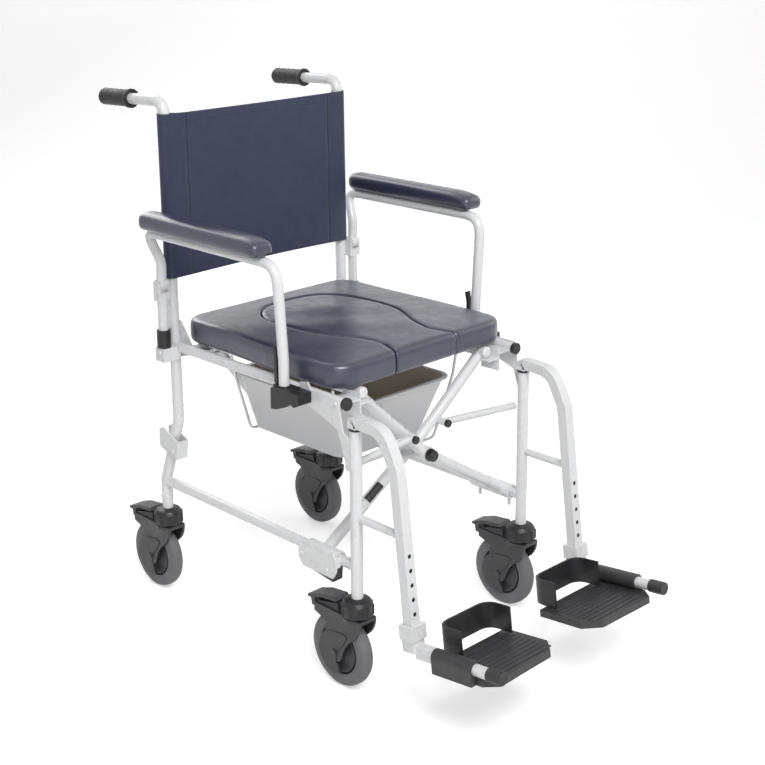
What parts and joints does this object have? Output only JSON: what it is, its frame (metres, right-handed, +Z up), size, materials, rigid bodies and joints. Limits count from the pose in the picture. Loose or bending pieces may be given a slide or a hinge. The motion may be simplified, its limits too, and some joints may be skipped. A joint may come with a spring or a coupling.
{
  "type": "wheeled commode chair",
  "caption": "Wheeled commode chair: folding white tube frame, dark padded seat with lift-out infill over a pan, sling back, flip-up armrests and swing-away footrests on swivel castors.",
  "frame": {"origin": "middle of the chair's footprint, on the floor", "axes": "+Z up, -Y the way the sitter faces, +X across the chair"},
  "size_m": [0.546, 0.9636, 0.9463],
  "materials": {
    "white_frame": "white powder coat",
    "black_plastic": "moulded",
    "navy_vinyl": "coated upholstery cloth",
    "charcoal_plastic": "moulded",
    "grey_tyre": "matt",
    "pan_plastic": "satin",
    "steel": "zinc plated"
  },
  "bodies": {
    "frame_l": {"frame_left": "white_frame", "grip_left": "black_plastic", "rail_cap_left": "black_plastic", "pivot_ring_left": "black_plastic", "arm_socket_left": "black_plastic", "arm_sleeve_left": "black_plastic", "bearing_block": "black_plastic", "castor_head_front_left": "black_plastic", "castor_head_rear_left": "black_plastic", "backrest": "navy_vinyl"},
    "frame_r": {"frame_right": "white_frame", "grip_right": "black_plastic", "rail_cap_right": "black_plastic", "pivot_ring_right": "black_plastic", "arm_socket_right": "black_plastic", "arm_sleeve_right": "black_plastic", "castor_head_front_right": "black_plastic", "castor_head_rear_right": "black_plastic"},
    "brace_a": {"brace_a": "white_frame", "seat_tube_cap_a": "white_frame"},
    "brace_b": {"brace_b": "white_frame", "seat_tube_cap_b": "white_frame", "pivot_knob": "black_plastic"},
    "cradle": {"cradle_front": "steel", "cradle_rear": "steel"},
    "pan": {"pan": "pan_plastic"},
    "seat": {"seat_pad": "navy_vinyl"},
    "infill": {"seat_infill": "navy_vinyl"},
    "link_l": {"link_left": "white_frame", "link_cap_left": "black_plastic"},
    "link_r": {"link_right": "white_frame", "link_cap_right": "black_plastic"},
    "armrest_l": {"arm_frame_left": "white_frame", "arm_pad_left": "navy_vinyl"},
    "arm_lever_l": {"arm_lever_left": "black_plastic"},
    "hanger_l": {"hanger_left": "white_frame"},
    "legrest_l": {"legrest_left": "white_frame", "foot_tube_cap_left": "black_plastic"},
    "footplate_l": {"footplate_left": "black_plastic", "heel_loop_left": "black_plastic"},
    "armrest_r": {"arm_frame_right": "white_frame", "arm_pad_right": "navy_vinyl"},
    "arm_lever_r": {"arm_lever_right": "black_plastic"},
    "hanger_r": {"hanger_right": "white_frame"},
    "legrest_r": {"legrest_right": "white_frame", "foot_tube_cap_right": "black_plastic"},
    "footplate_r": {"footplate_right": "black_plastic", "heel_loop_right": "black_plastic"},
    "castor_front_left": {"castor_fork_front_left": "charcoal_plastic"},
    "wheel_front_left": {"castor_wheel_front_left": "grey_tyre"},
    "pedal_front_left": {"castor_pedal_front_left": "charcoal_plastic"},
    "castor_front_right": {"castor_fork_front_right": "charcoal_plastic"},
    "wheel_front_right": {"castor_wheel_front_right": "grey_tyre"},
    "pedal_front_right": {"castor_pedal_front_right": "charcoal_plastic"},
    "castor_rear_left": {"castor_fork_rear_left": "charcoal_plastic"},
    "wheel_rear_left": {"castor_wheel_rear_left": "grey_tyre"},
    "pedal_rear_left": {"castor_pedal_rear_left": "charcoal_plastic"},
    "castor_rear_right": {"castor_fork_rear_right": "charcoal_plastic"},
    "wheel_rear_right": {"castor_wheel_rear_right": "grey_tyre"},
    "pedal_rear_right": {"castor_pedal_rear_right": "charcoal_plastic"}
  },
  "joints": [
    {"name": "fold", "type": "hinge", "parent": "frame_l", "child": "brace_a", "pos_m": [-0.205, -0.17004, 0.222], "axis": [0, -1, 0], "range_deg": [0, 14], "deforming": ["backrest", "seat_pad", "seat_infill"]},
    {"name": "brace_pivot", "type": "hinge", "parent": "brace_a", "child": "brace_b", "pos_m": [0, -0.17004, 0.348], "axis": [0, -1, 0], "range_deg": [-29, 1]},
    {"name": "frame_r_sleeve", "type": "hinge", "parent": "brace_b", "child": "frame_r", "pos_m": [0.205, -0.17004, 0.222], "axis": [0, -1, 0], "range_deg": [-1, 15]},
    {"name": "seat_rise", "type": "slide", "parent": "frame_l", "child": "cradle", "axis": [-0.3341, 0, 0.9425], "range_m": [-0.002, 0.097]},
    {"name": "link_l_pivot", "type": "hinge", "parent": "frame_l", "child": "link_l", "pos_m": [-0.205, -0.15104, 0.388], "axis": [0, -1, 0], "range_deg": [-1, 30]},
    {"name": "link_r_pivot", "type": "hinge", "parent": "frame_r", "child": "link_r", "pos_m": [0.205, -0.15104, 0.388], "axis": [0, -1, 0], "range_deg": [-30, 1]},
    {"name": "pan_lift", "type": "slide", "parent": "cradle", "child": "pan", "axis": [0, 0, 1], "range_m": [0, 0.025]},
    {"name": "seat_lift", "type": "slide", "parent": "cradle", "child": "seat", "axis": [0, 0, 1], "range_m": [0, 0.3]},
    {"name": "infill_lift", "type": "slide", "parent": "seat", "child": "infill", "axis": [0, 0, 1], "range_m": [0, 0.2]},
    {"name": "armrest_l_flip", "type": "hinge", "parent": "frame_l", "child": "armrest_l", "pos_m": [-0.232, 0.29296, 0.612], "axis": [-1, 0, 0], "range_deg": [0, 100]},
    {"name": "arm_lever_l_tilt", "type": "hinge", "parent": "frame_l", "child": "arm_lever_l", "pos_m": [-0.232, -0.01604, 0.5083], "axis": [-1, 0, 0], "range_deg": [0, 12], "stiffness_Nm_per_rad": 0.3},
    {"name": "hanger_l_swing", "type": "hinge", "parent": "frame_l", "child": "hanger_l", "pos_m": [-0.205, -0.17004, 0.465], "axis": [0, 0, -1], "range_deg": [0, 90]},
    {"name": "legrest_l_slide", "type": "slide", "parent": "hanger_l", "child": "legrest_l", "axis": [0, 0.1219, 0.9925], "range_m": [0, 0.0945]},
    {"name": "footplate_l_fold", "type": "hinge", "parent": "legrest_l", "child": "footplate_l", "pos_m": [-0.205, -0.38722, 0.13694], "axis": [0, -0.9925, 0.1219], "range_deg": [0, 90]},
    {"name": "armrest_r_flip", "type": "hinge", "parent": "frame_r", "child": "armrest_r", "pos_m": [0.232, 0.29296, 0.612], "axis": [-1, 0, 0], "range_deg": [0, 100]},
    {"name": "arm_lever_r_tilt", "type": "hinge", "parent": "frame_r", "child": "arm_lever_r", "pos_m": [0.232, -0.01604, 0.5083], "axis": [-1, 0, 0], "range_deg": [0, 12], "stiffness_Nm_per_rad": 0.3},
    {"name": "hanger_r_swing", "type": "hinge", "parent": "frame_r", "child": "hanger_r", "pos_m": [0.205, -0.17004, 0.465], "axis": [0, 0, 1], "range_deg": [0, 90]},
    {"name": "legrest_r_slide", "type": "slide", "parent": "hanger_r", "child": "legrest_r", "axis": [0, 0.1219, 0.9925], "range_m": [0, 0.0945]},
    {"name": "footplate_r_fold", "type": "hinge", "parent": "legrest_r", "child": "footplate_r", "pos_m": [0.205, -0.38722, 0.13694], "axis": [0, 0.9925, -0.1219], "range_deg": [0, 90]},
    {"name": "castor_front_left_swivel", "type": "hinge", "parent": "frame_l", "child": "castor_front_left", "pos_m": [-0.205, -0.17004, 0.13], "axis": [0, 0, 1], "continuous": true},
    {"name": "wheel_front_left_roll", "type": "hinge", "parent": "castor_front_left", "child": "wheel_front_left", "pos_m": [-0.205, -0.13404, 0.064], "axis": [1, 0, 0], "continuous": true},
    {"name": "pedal_front_left_press", "type": "hinge", "parent": "castor_front_left", "child": "pedal_front_left", "pos_m": [-0.205, -0.12604, 0.15], "axis": [-1, 0, 0], "range_deg": [0, 6]},
    {"name": "castor_front_right_swivel", "type": "hinge", "parent": "frame_r", "child": "castor_front_right", "pos_m": [0.205, -0.17004, 0.13], "axis": [0, 0, 1], "continuous": true},
    {"name": "wheel_front_right_roll", "type": "hinge", "parent": "castor_front_right", "child": "wheel_front_right", "pos_m": [0.205, -0.13404, 0.064], "axis": [1, 0, 0], "continuous": true},
    {"name": "pedal_front_right_press", "type": "hinge", "parent": "castor_front_right", "child": "pedal_front_right", "pos_m": [0.205, -0.12604, 0.15], "axis": [-1, 0, 0], "range_deg": [0, 6]},
    {"name": "castor_rear_left_swivel", "type": "hinge", "parent": "frame_l", "child": "castor_rear_left", "pos_m": [-0.205, 0.34096, 0.13], "axis": [0, 0, 1], "continuous": true},
    {"name": "wheel_rear_left_roll", "type": "hinge", "parent": "castor_rear_left", "child": "wheel_rear_left", "pos_m": [-0.205, 0.37696, 0.064], "axis": [1, 0, 0], "continuous": true},
    {"name": "pedal_rear_left_press", "type": "hinge", "parent": "castor_rear_left", "child": "pedal_rear_left", "pos_m": [-0.205, 0.38496, 0.15], "axis": [-1, 0, 0], "range_deg": [0, 6]},
    {"name": "castor_rear_right_swivel", "type": "hinge", "parent": "frame_r", "child": "castor_rear_right", "pos_m": [0.205, 0.34096, 0.13], "axis": [0, 0, 1], "continuous": true},
    {"name": "wheel_rear_right_roll", "type": "hinge", "parent": "castor_rear_right", "child": "wheel_rear_right", "pos_m": [0.205, 0.37696, 0.064], "axis": [1, 0, 0], "continuous": true},
    {"name": "pedal_rear_right_press", "type": "hinge", "parent": "castor_rear_right", "child": "pedal_rear_right", "pos_m": [0.205, 0.38496, 0.15], "axis": [-1, 0, 0], "range_deg": [0, 6]}
  ],
  "couplings": [
    {"joint": "brace_pivot", "follows": "fold", "ratio": -2},
    {"joint": "frame_r_sleeve", "follows": "fold", "ratio": 1},
    {"joint": "seat_rise", "follows": "fold", "m_per_rad": 0.37717},
    {"joint": "link_l_pivot", "follows": "fold", "ratio": 1.95},
    {"joint": "link_r_pivot", "follows": "fold", "ratio": -1.95}
  ]
}
